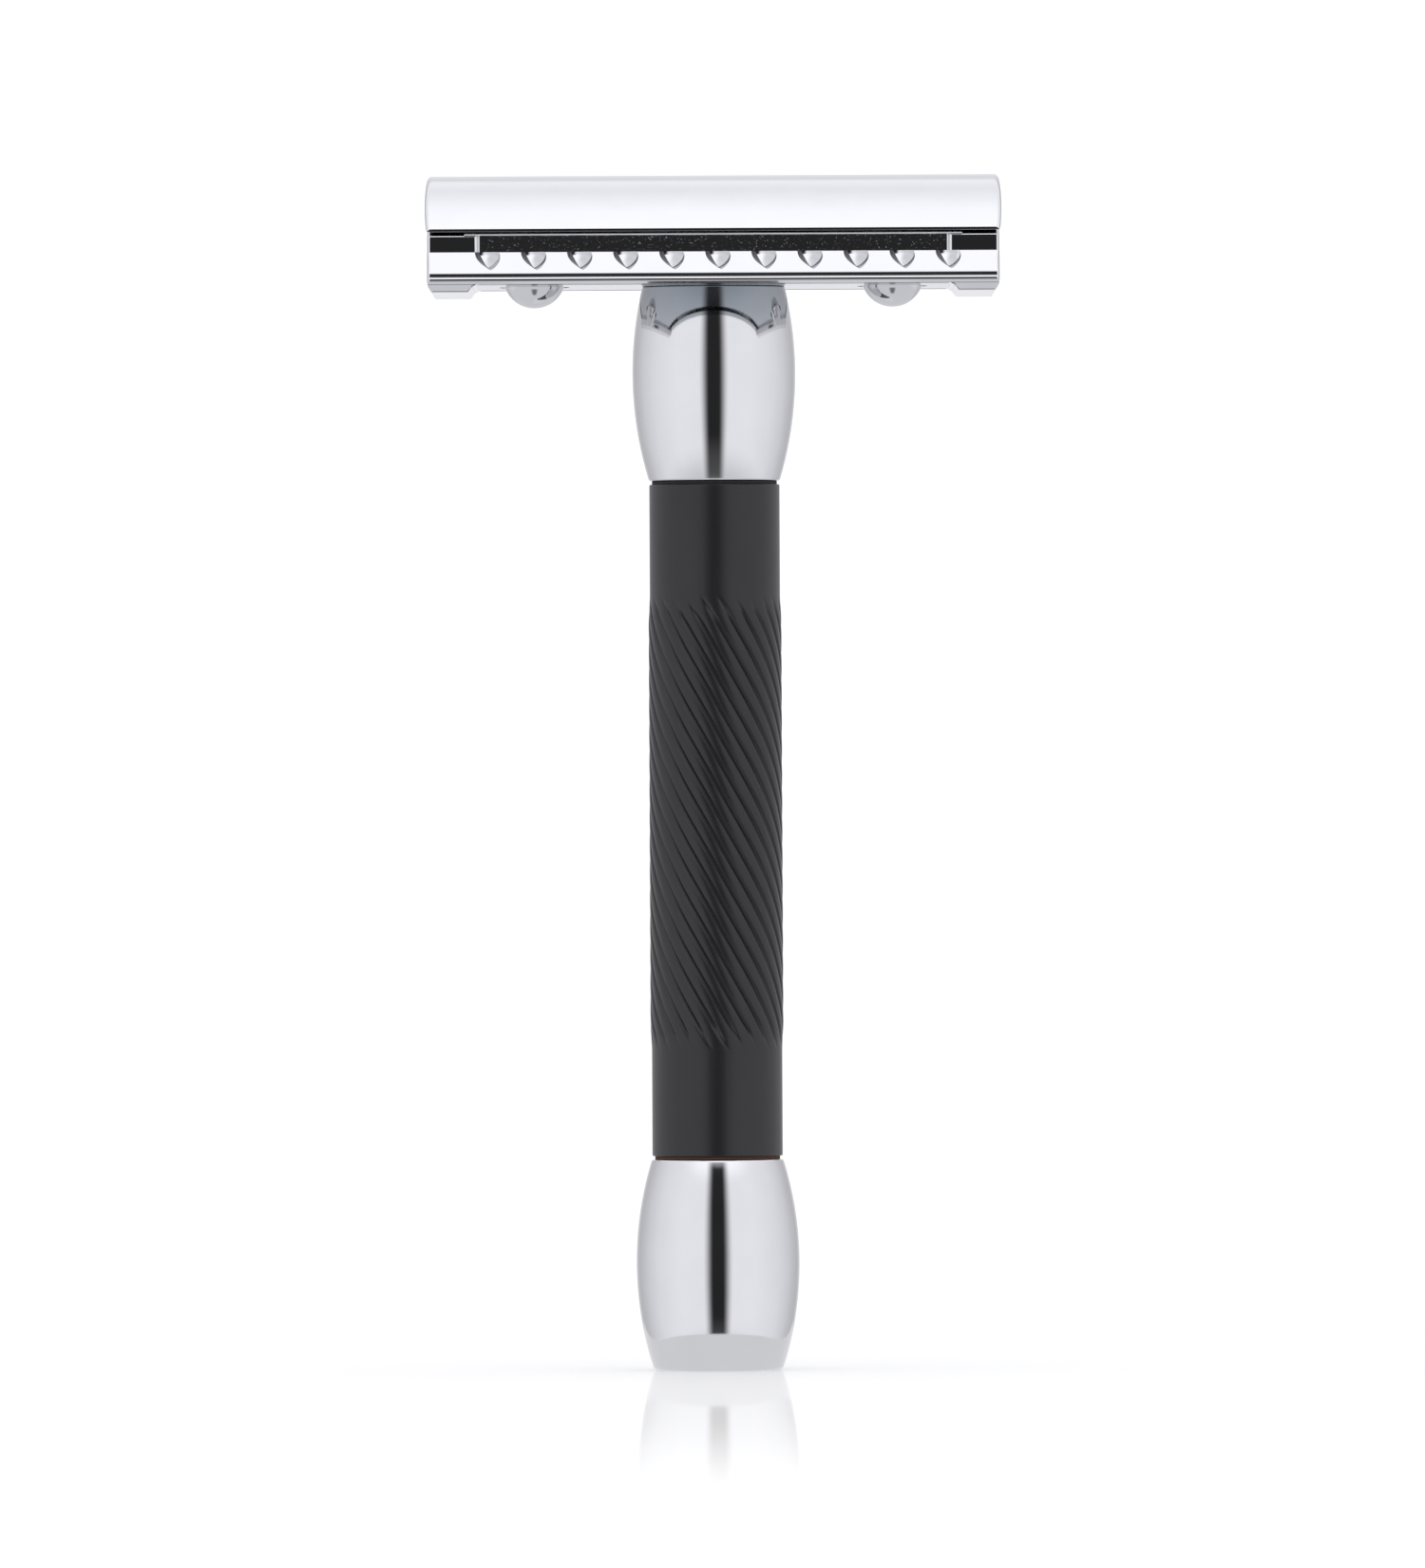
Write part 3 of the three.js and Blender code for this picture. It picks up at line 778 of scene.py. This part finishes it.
def threaded_insert():
    """The bush's groove is half a pitch away from the stud's, so that the two threads mesh."""
    low, high = span("threaded_insert")
    chamfer_r, chamfer_z = INSERT_CHAMFER
    thread_low = low.z + INSERT_THREAD_FROM
    thread_high = high.z - INSERT_THREAD_TO
    profile = [(high.x, low.z), (high.x, high.z - chamfer_z), (high.x - chamfer_r, high.z)]
    profile.append((INSERT_MOUTH_R, high.z))
    profile += threaded_rows(INSERT_CREST_R, thread_high, thread_low)
    profile.append((INSERT_END_R, low.z))
    thread = thread_relief(
        INSERT_CREST_R,
        thread_low - INSERT_THREAD_MARGIN,
        thread_high + INSERT_THREAD_MARGIN,
        sign=1,
        cleared=(True, True),
        shift=0.5,
    )
    return turned("threaded_insert_bush", profile, THREAD_SEGMENTS, thread)


# ---- Head ----------------------------------------------------------------------------------------
plate_low, plate_high = span("base_plate")
cap_low, cap_high = span("cap_shell")
_, blade_high = span("blade")
post_low, post_high = span("right_post")
post_x = (post_low.x + post_high.x) / 2
post_r = (post_high.x - post_low.x) / 2
bend_crown = blade_high.z - BLADE_THICKNESS / 2
bend_centre = bend_crown - BEND_R
cap_under_r = BEND_R + BLADE_THICKNESS / 2 + CLAMP_GAP
bar_nose = (-plate_high.y, FLANGE_TOP + NOSE_RISE)
bar_top = (-BAR_FACE_TOP_Y, BAR_TOP)


def bend_arc(radius, half_depth, steps=48):
    """(y, z) points of an arc about the blade's bending axis, from front to back."""
    half = math.asin(half_depth / radius)
    return arc_points((0, bend_centre), radius, math.pi / 2 + half, math.pi / 2 - half, steps)


def cap_ring(inset, x):
    """One closed cross-section of the cap, drawn in from its full size by inset."""
    crown_centre = cap_high.z - CAP_ARC_R
    outer_r = CAP_ARC_R - inset
    gap = crown_centre - bend_centre
    rise = (cap_under_r**2 - outer_r**2 - gap**2) / (2 * gap)
    meet = math.sqrt(max(outer_r**2 - rise**2, 0.0))
    half_depth = min(cap_high.y, meet - CAP_RIM)
    half = math.asin(half_depth / outer_r)
    outer = arc_points((0, crown_centre), outer_r, math.pi / 2 + half, math.pi / 2 - half, CAP_STEPS)
    under = bend_arc(cap_under_r, half_depth, CAP_STEPS)
    edge = min(CAP_EDGE, (outer[0][1] - under[0][1]) * CAP_EDGE_SHARE)
    corners = [(*outer[0], edge), *outer[1:-1], (*outer[-1], edge)]
    corners += [(*under[-1], edge / 2), *reversed(under[1:-1]), (*under[0], edge / 2)]
    return [bulged(x, y, z) for y, z in rounded(corners, steps=CAP_EDGE_STEPS)]


def bulged(x, y, z):
    """The cap's ends bulge: they are longest at about half its height."""
    middle = (cap_low.z + cap_high.z) / 2
    reach = (z - middle) / (cap_high.z - middle)
    return (x * (1 - CAP_END_BULGE * reach * reach), y, z)


def cap_shell():
    return lofted("cap_shell_body", cap_high.x, CAP_END_ROUND, cap_ring, facing_strips)


def flared_root(radius, flare, ceiling, top):
    """Profile points where a pin spreads out into the cap's underside, and the end that the cap hides."""
    centre = (radius + flare, ceiling - FLARE_CENTRE)
    spread = arc_points(centre, flare, math.pi, math.pi / 2, FLARE_STEPS)
    return [(radius, ceiling - FLARE_FROM), *spread[1:], (radius + flare, top), (0, top)]


def post(node):
    """A pin with a round end, which lines up the blade and the plate."""
    low, high = span(node)
    middle = (low.x + high.x) / 2
    ceiling = bend_centre + math.sqrt(cap_under_r**2 - post_r**2)
    dome = arc_points((0, low.z + post_r), post_r, -math.pi / 2, 0, DOME_STEPS)
    profile = [(0, low.z), *dome[1:], (post_r, low.z + post_r + SMALL_EDGE)]
    profile += flared_root(post_r, POST_FLARE, ceiling, ceiling + ROOT_COVER)
    return turned(node + "_pin", profile, PIN_SEGMENTS, at_x=middle)


def threaded_stud():
    low, high = span("threaded_stud")
    stud_r = high.x
    shoulder = low.z + STUD_THREAD_TO
    profile = [(0, low.z), (stud_r - STUD_CHAMFER, low.z)]
    profile += threaded_rows(stud_r, low.z + STUD_CHAMFER, shoulder)
    profile += flared_root(stud_r, STUD_FLARE, bend_crown - ROOT_COVER, bend_crown + ROOT_COVER)
    thread = thread_relief(stud_r, low.z + STUD_THREAD_FROM, shoulder, cleared=(True, False))
    return turned("threaded_stud_shank", profile, PIN_SEGMENTS, thread)


def plate_outline():
    """(y, z) outline of the base plate with its two guard bars, at its ends."""
    ramp = bowed(bar_nose, bar_top, BAR_FACE_BOW, BAR_FACE_STEPS)
    front = [(-y, *rest) for y, *rest in FLANGE_FACE]
    front.append((ramp[0][0], FLANGE_TOP + CREASE_RISE, CREASE_RISE))
    front += ramp[1:-1]
    front += [(*ramp[-1], BAR_TOP_EDGE), (-END_BLOCK_Y, BAR_TOP)]
    seat = bend_arc(BEND_R - BLADE_THICKNESS / 2 - SEAT_GAP, END_BLOCK_Y)
    seat[0] = (*seat[0], SMALL_EDGE)
    seat[-1] = (*seat[-1], SMALL_EDGE)
    return rounded(front + seat + mirrored(front), steps=10)


def end_lip(side):
    """The foot under one end of the plate; its front and back faces lean in towards the bottom."""
    outer = plate_high.x - LIP_INSET
    low = plate_low.z
    top = PLATE_BOTTOM + LIP_ROOT
    corners = [
        (LIP_X, top),
        (LIP_X, PLATE_BOTTOM - LIP_INNER_STEP),
        (LIP_X + LIP_BEND_X, PLATE_BOTTOM - LIP_OUTER_STEP, LIP_CORNER_R),
        (LIP_X + LIP_FOOT_X, low, LIP_CORNER_R),
        (outer - LIP_TIP_X, low, LIP_TIP_R),
        (outer, low + LIP_TIP_Z, LIP_CORNER_R),
        (outer, top),
    ]
    outline = [(side * x, z) for x, z in rounded(corners)]

    def leaning(x, z, y):
        return (x, y - math.copysign(LIP_LEAN * (top - z), y), z)

    lip = prism("lip", outline, -LIP_FACE_Y, LIP_FACE_Y, leaning)
    soften(lip, LIP_EDGE, angle=60)
    return lip


def scallop_profile():
    """(reach, depth) of the cutting disc's rim: a steep straight flank, then a hollow floor that rises."""
    top, foot = SCALLOP_WALL
    steep = SCALLOP_DEPTH / (foot - top)
    start = (foot, SCALLOP_DEPTH)
    end = (SCALLOP_FLOOR_END, 0.0)
    floor_points = bowed(start, end, SCALLOP_FLOOR_BOW, SCALLOP_FLOOR_STEPS, SCALLOP_FLOOR_REACH)
    return [(top - SCALLOP_WALL_EXTRA, -SCALLOP_WALL_EXTRA * steep), *floor_points]


def scallop_cutter(x, side):
    """A small disc set across the bar's face, leaning to the right."""
    nose, top = Vector((0, *bar_nose)), Vector((0, *bar_top))
    face_down = (nose - top).normalized()
    outward = Vector((0, face_down.z, -face_down.y))
    axis = Vector((math.cos(SCALLOP_LEAN), 0, 0)) - face_down * math.sin(SCALLOP_LEAN)
    shift, drop = SCALLOP_MIDDLE
    mouth = top + Vector((x + shift, 0, 0)) + face_down * (drop / face_down.z)
    rim_r = SCALLOP_DISC_R - SCALLOP_DEPTH
    centre = mouth + outward * rim_r
    second = axis.cross(outward)
    points, rings = [], []
    for reach, depth in scallop_profile():
        ring = []
        for k in range(SCALLOP_SEGMENTS):
            turn = FULL_TURN * k / SCALLOP_SEGMENTS
            spoke = outward * math.cos(turn) + second * math.sin(turn)
            spot = centre + axis * reach + spoke * (rim_r + depth)
            ring.append(len(points))
            points.append(spot if side < 0 else Vector((-spot.x, -spot.y, spot.z)))
        rings.append(ring)
    faces = [tuple(rings[0]), tuple(reversed(rings[-1]))]
    for one, two in zip(rings, rings[1:]):
        faces += ring_faces(one, two)
    return points, faces


def scallop_cutters():
    points, faces = [], []
    for side in (-1, 1):
        for i in range(SCALLOP_COUNT):
            x = (i - (SCALLOP_COUNT - 1) / 2) * SCALLOP_PITCH + SCALLOP_SHIFT
            new_points, new_faces = scallop_cutter(x, side)
            base = len(points)
            points += new_points
            faces += [tuple(n + base for n in face) for face in new_faces]
    return new_piece("scallops", points, faces)


def through_cutter(name, outline):
    """A cutter that goes through the whole plate."""
    return prism(name, outline, PLATE_BOTTOM - CUT_REACH, bend_crown + CUT_REACH, along_z)


def drain_slot(side):
    outline = rectangle(SLOT_X, SHELF_Y, BAR_BACK_Y, SLOT_CORNER_R)
    return through_cutter("slot", [(x, side * y) for x, y in outline])


def block_corner(side_x, side_y):
    """Rounds the upright corner where an end block's face meets the slot."""
    radius = END_BLOCK_CORNER_R
    over_x, over_y = CORNER_OVERLAP
    outline = [(SLOT_X - over_x, END_BLOCK_Y + over_y), (SLOT_X - over_x, END_BLOCK_Y - radius)]
    outline += arc_points((SLOT_X + radius, END_BLOCK_Y - radius), radius, math.pi, math.pi / 2, 8)
    outline.append((SLOT_X + radius, END_BLOCK_Y + over_y))
    return prism("corner", [(side_x * x, side_y * y) for x, y in outline], BAR_TOP, bend_crown, along_z)


def base_plate():
    holes = ((0, CENTRE_HOLE_R), (-post_x, POST_HOLE_R), (post_x, POST_HOLE_R))
    outline = plate_outline()
    middle = sum((Vector(p) for p in outline), Vector((0, 0))) / len(outline)
    reach = max(abs(z - middle.y) for _, z in outline)

    def section(inset, x):
        shrink = 1 - inset / reach
        return [(x, y * shrink, middle.y + (z - middle.y) * shrink) for y, z in outline]

    plate = lofted("base_plate_casting", plate_high.x, PLATE_END_ROUND, section, single_face)
    combine(plate, [drain_slot(-1), drain_slot(1)], "DIFFERENCE")
    combine(plate, [block_corner(x, y) for x in (-1, 1) for y in (-1, 1)], "DIFFERENCE")
    combine(plate, [end_lip(-1), end_lip(1)], "UNION")
    cutters = [through_cutter("hole", circle(x, radius, PIN_SEGMENTS)) for x, radius in holes]
    combine(plate, cutters, "DIFFERENCE")
    combine(plate, [scallop_cutters()], "DIFFERENCE")
    weld(plate)
    shade(plate, PLATE_SHARP_ANGLE)
    weight_normals(plate)
    return plate


def blade_outline():
    """A strip with a tab at each end that is narrower than the edges."""
    quarter = [
        (BLADE_EDGE_X, BLADE_HALF_WIDTH),
        (BLADE_EDGE_X, BLADE_TAB_Y + BLADE_NOTCH, BLADE_NOTCH_R),
        (BLADE_EDGE_X + BLADE_NOTCH, BLADE_TAB_Y, BLADE_NOTCH_R),
        (blade_high.x, BLADE_TAB_Y, BLADE_TAB_R),
    ]
    right = quarter + [(x, -y, *radius) for x, y, *radius in reversed(quarter)]
    return right + mirrored(right)


def blade():
    """Drawn flat, cut, ground thin along both edges, and then bent over the plate's seat."""
    half = BLADE_THICKNESS / 2
    piece = prism("blade_strip", rounded(blade_outline()), -half, half, along_z)
    slot = rectangle(BLADE_SLOT_X, -BLADE_SLOT_Y, BLADE_SLOT_Y, BLADE_SLOT_R)
    openings = [slot] + [circle(x, BLADE_HOLE_R, BLADE_HOLE_SEGMENTS) for x in (0, -post_x, post_x)]
    combine(piece, [prism("opening", outline, -1, 1, along_z) for outline in openings], "DIFFERENCE")
    shape = bmesh.new()
    shape.from_mesh(piece.data)
    row_count = int(GRIND_START / BLADE_ROW)
    rows = [i * BLADE_ROW for i in range(-row_count, row_count + 1)]
    for y in sorted([*rows, *GRIND_ROWS, *(-row for row in GRIND_ROWS)]):
        parts = shape.verts[:] + shape.edges[:] + shape.faces[:]
        bmesh.ops.bisect_plane(shape, geom=parts, plane_co=(0, y * MM, 0), plane_no=(0, 1, 0))
    for v in shape.verts:
        x, across, height = (c / MM for c in v.co)
        ground = max(0.0, abs(across) - GRIND_START) / GRIND_WIDTH
        height *= max(GRIND_TIP, 1 - ground**GRIND_CURVE)
        angle = across / BEND_R
        radius = BEND_R + height
        v.co = Vector((x, radius * math.sin(angle), bend_centre + radius * math.cos(angle))) * MM
    shape.to_mesh(piece.data)
    shape.free()
    shade(piece, BLADE_SHARP_ANGLE)
    return piece


# ---- Stage ---------------------------------------------------------------------------------------
class World(Tree):
    """The world's node tree."""

    def __init__(self):
        world = bpy.data.worlds.new("studio")
        bpy.context.scene.world = world
        world.use_nodes = True
        super().__init__(world.node_tree)
        self.background = self.tree.nodes["Background"]

    def curve(self, angle, stops):
        """A level for an angle: eased between two (degrees, level) stops, straight between more."""
        first, last = stops[0][0], stops[-1][0]
        span_inputs = {"Value": angle, "From Min": first, "From Max": last}
        share = self.add("ShaderNodeMapRange", span_inputs).outputs[0]
        ramp = self.add("ShaderNodeValToRGB", {0: share})
        ramp.color_ramp.interpolation = "EASE" if len(stops) == 2 else "LINEAR"
        band = ramp.color_ramp.elements
        while len(band) < len(stops):
            band.new(0.5)
        for element, (degrees, level) in zip(band, stops):
            element.position = (degrees - first) / (last - first)
            element.color = (level, level, level, 1)
        return ramp.outputs[0]

    def blend(self, share, first, second):
        """A plain number between two others."""
        return self.mix(share, first, second, "FLOAT")


def world_light():
    """A soft white studio as the metal sees it, with a dark gap in front where the camera stands.

    Angles are in degrees: turn is measured from the front, height from the horizon. The camera and
    matt surfaces see an even white instead.
    """
    world = World()
    x, y, z = world.split(world.add("ShaderNodeTexCoord").outputs["Generated"])
    turn = world.math("ARCTAN2", x, world.math("MULTIPLY", y, -1.0))
    turn = world.math("MULTIPLY", world.math("ABSOLUTE", turn), math.degrees(1))
    height = world.math("MULTIPLY", world.math("ARCSINE", z), math.degrees(1))

    walls = world.curve(turn, WALL_LEVELS)
    panel = world.curve(turn, FRONT_PANEL)
    ceiling = world.blend(panel, world.curve(height, BACK_LEVELS), PANEL_LEVEL)
    level = world.blend(world.curve(height, WALL_TOP), walls, ceiling)
    level = world.blend(world.curve(height, WALL_FOOT), level, GROUND_LEVEL)
    gap = world.math("MULTIPLY", world.curve(turn, GAP_SIDES), world.curve(height, GAP_ENDS))
    level = world.blend(gap, level, GAP_LEVEL)
    level = world.math("MULTIPLY", level, METAL_GAIN)
    straight_back = world.math("GREATER_THAN", y, HORIZON_SPOT)
    horizon = world.math("MULTIPLY", straight_back, world.math("GREATER_THAN", z, 0.0))
    level = world.blend(horizon, level, 1.0)

    tinted = [world.math("MULTIPLY", level, share) for share in COOL_TINT]
    colour = world.add("ShaderNodeCombineColor", dict(enumerate(tinted))).outputs[0]
    ray = world.add("ShaderNodeLightPath").outputs
    plain = world.math("MAXIMUM", ray["Is Camera Ray"], ray["Is Diffuse Ray"])
    seen = world.mix(plain, colour, (FLOOR_LIGHT, FLOOR_LIGHT, FLOOR_LIGHT, 1))
    world.set(world.background, "Color", seen)
    world.set(world.background, "Strength", 1.0)


def floor():
    """A matt white floor with a faint shine around the foot."""
    half = FLOOR_HALF
    mesh = bpy.data.meshes.new("floor")
    corners = [(-half, -half, 0), (half, -half, 0), (half, half, 0), (-half, half, 0)]
    mesh.from_pydata(corners, [], [(0, 1, 2, 3)])
    piece = bpy.data.objects.new("floor", mesh)
    bpy.context.scene.collection.objects.link(piece)
    nodes = Nodes("pale_floor")
    nodes.finish(Base_Color=(FLOOR_TONE, FLOOR_TONE, FLOOR_TONE, 1), Roughness=0.9, Specular_IOR_Level=0.0)
    where = nodes.add("ShaderNodeTexCoord").outputs["Object"]
    distance = nodes.add("ShaderNodeVectorMath", {0: where}, operation="LENGTH").outputs["Value"]
    zone = (FLOOR_SHINE_NEAR, FLOOR_SHINE_FAR)
    fade = nodes.ramp(distance, FLOOR_SHINE, 0.0, *zone, interpolation_type="SMOOTHSTEP")
    gloss = nodes.add("ShaderNodeBsdfGlossy", {"Color": (1, 1, 1, 1), "Roughness": 0.03}).outputs[0]
    surfaces = {0: fade, 1: nodes.shader.outputs[0], 2: gloss}
    nodes.show(nodes.add("ShaderNodeMixShader", surfaces).outputs[0])
    piece.data.materials.append(nodes.material)
    piece.visible_glossy = False


def foot_card():
    """A pale card under the foot that only shows in the chrome."""
    start, end = (math.radians(degrees) for degrees in CARD_ARC)
    side, back = CARD_FLARE
    outline = arc_points((0, 0), CARD_R, start, end, 40)
    outline += [(side, back), (-side, back)]
    piece = new_piece("foot_card", [(x, y, -CARD_DROP) for x, y in outline], [tuple(range(len(outline)))])
    nodes = Nodes("foot_card")
    tone = (CARD_LEVEL, CARD_LEVEL, CARD_LEVEL * CARD_BLUE, 1)
    nodes.show(nodes.add("ShaderNodeEmission", {"Color": tone}).outputs[0])
    piece.data.materials.append(nodes.material)
    piece.visible_camera = False
    piece.visible_diffuse = False
    piece.visible_shadow = False


def lamp(name, place, size, watts):
    """A square lamp that points at the foot and doesn't show in the metal."""
    data = bpy.data.lights.new(name, "AREA")
    data.shape = "SQUARE"
    data.size = size
    data.energy = watts
    light = bpy.data.objects.new(name, data)
    light.location = place
    light.rotation_euler = (-Vector(place)).to_track_quat("-Z", "Y").to_euler()
    light.visible_glossy = False
    light.visible_camera = False
    bpy.context.scene.collection.objects.link(light)


def camera():
    """A long lens straight in front, a little rolled, as the photo was taken."""
    data = bpy.data.cameras.new("camera")
    data.lens = CAMERA_LENS
    data.sensor_width = 36.0
    data.clip_end = 100.0
    view = bpy.data.objects.new("camera", data)
    view.location = CAMERA_PLACE
    view.rotation_euler = (math.radians(90), CAMERA_ROLL, 0)
    bpy.context.scene.collection.objects.link(view)
    bpy.context.scene.camera = view


# ---- Assembly ------------------------------------------------------------------------------------
def fit(piece, node, body, material):
    """Puts a finished piece on its body in place of its CAD node."""
    piece.data.materials.clear()
    piece.data.materials.append(material)
    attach(piece, body)
    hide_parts(node)


def build():
    polished = chrome_material()
    brass = brass_material()
    brown_fibre = fibre_material("brown_fibre", BROWN_FIBRE_TONES)
    black_fibre = fibre_material("black_fibre", BLACK_FIBRE_TONES)
    fit(lower_barrel(), "lower_barrel", "handle", polished)
    fit(upper_barrel(), "upper_barrel", "handle", polished)
    fit(grip_sleeve(), "grip_sleeve", "handle", black_grip_material())
    fit(washer("lower_washer"), "lower_washer", "handle", brown_fibre)
    fit(washer("upper_washer"), "upper_washer", "handle", black_fibre)
    fit(tie_rod(), "tie_rod", "handle", rod_steel_material())
    fit(threaded_insert(), "threaded_insert", "handle", brass)
    fit(base_plate(), "base_plate", "guard", plate_material())
    fit(blade(), "blade", "blade", blade_material())
    fit(cap_shell(), "cap_shell", "cap", polished)
    fit(threaded_stud(), "threaded_stud", "cap", brass)
    for node in ("left_post", "right_post"):
        fit(post(node), node, "cap", polished)


camera()
world_light()
floor()
foot_card()
lamp("overhead", place=(0.0, -0.3, 1.6), size=1.6, watts=1.0)
bpy.context.scene.view_settings.view_transform = "Standard"
build()
